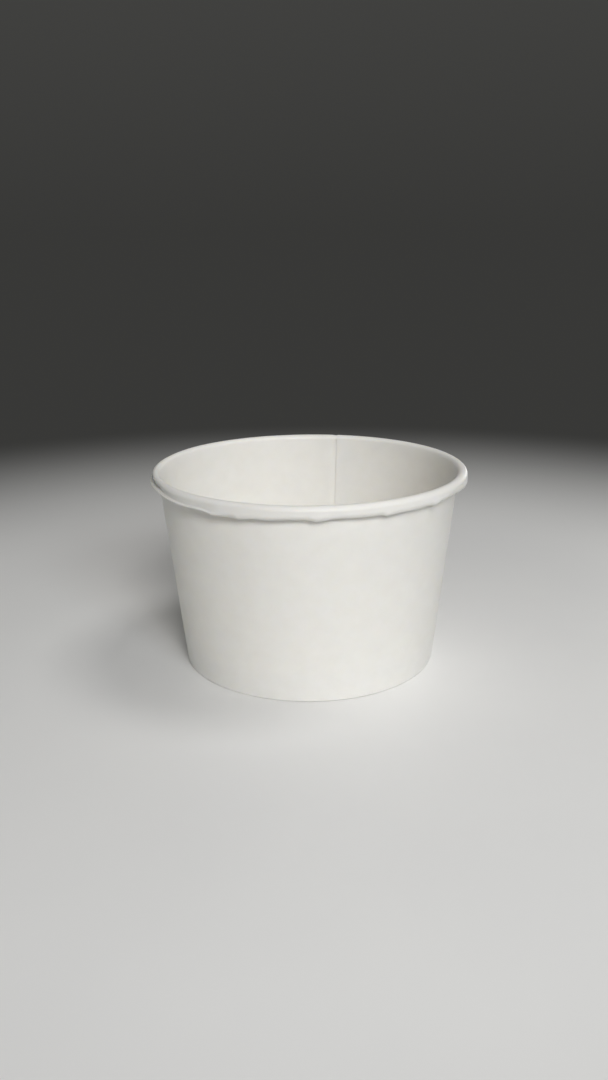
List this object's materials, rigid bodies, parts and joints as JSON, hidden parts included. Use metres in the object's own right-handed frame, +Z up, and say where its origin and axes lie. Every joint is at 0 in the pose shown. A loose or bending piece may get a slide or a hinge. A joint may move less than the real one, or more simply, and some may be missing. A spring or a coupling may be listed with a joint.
{
  "type": "paper sundae cup",
  "caption": "Plain white tapered paper cup with a wide mouth, an outward rolled rim, a lap seam and a raised base disc held by a folded hem.",
  "frame": {"origin": "centre of the foot ring, on the surface that the cup stands on", "axes": "+Z up along the cup's axis, towards its mouth; -Y is the side that faces the picture's camera, +X to its right"},
  "size_m": [0.095, 0.095, 0.0595],
  "materials": {
    "coated_board": "smooth matte coated board",
    "base_board": "smooth matte coated board"
  },
  "bodies": {
    "root": {"side_wall": "coated_board", "base_disc": "base_board"}
  },
  "joints": []
}
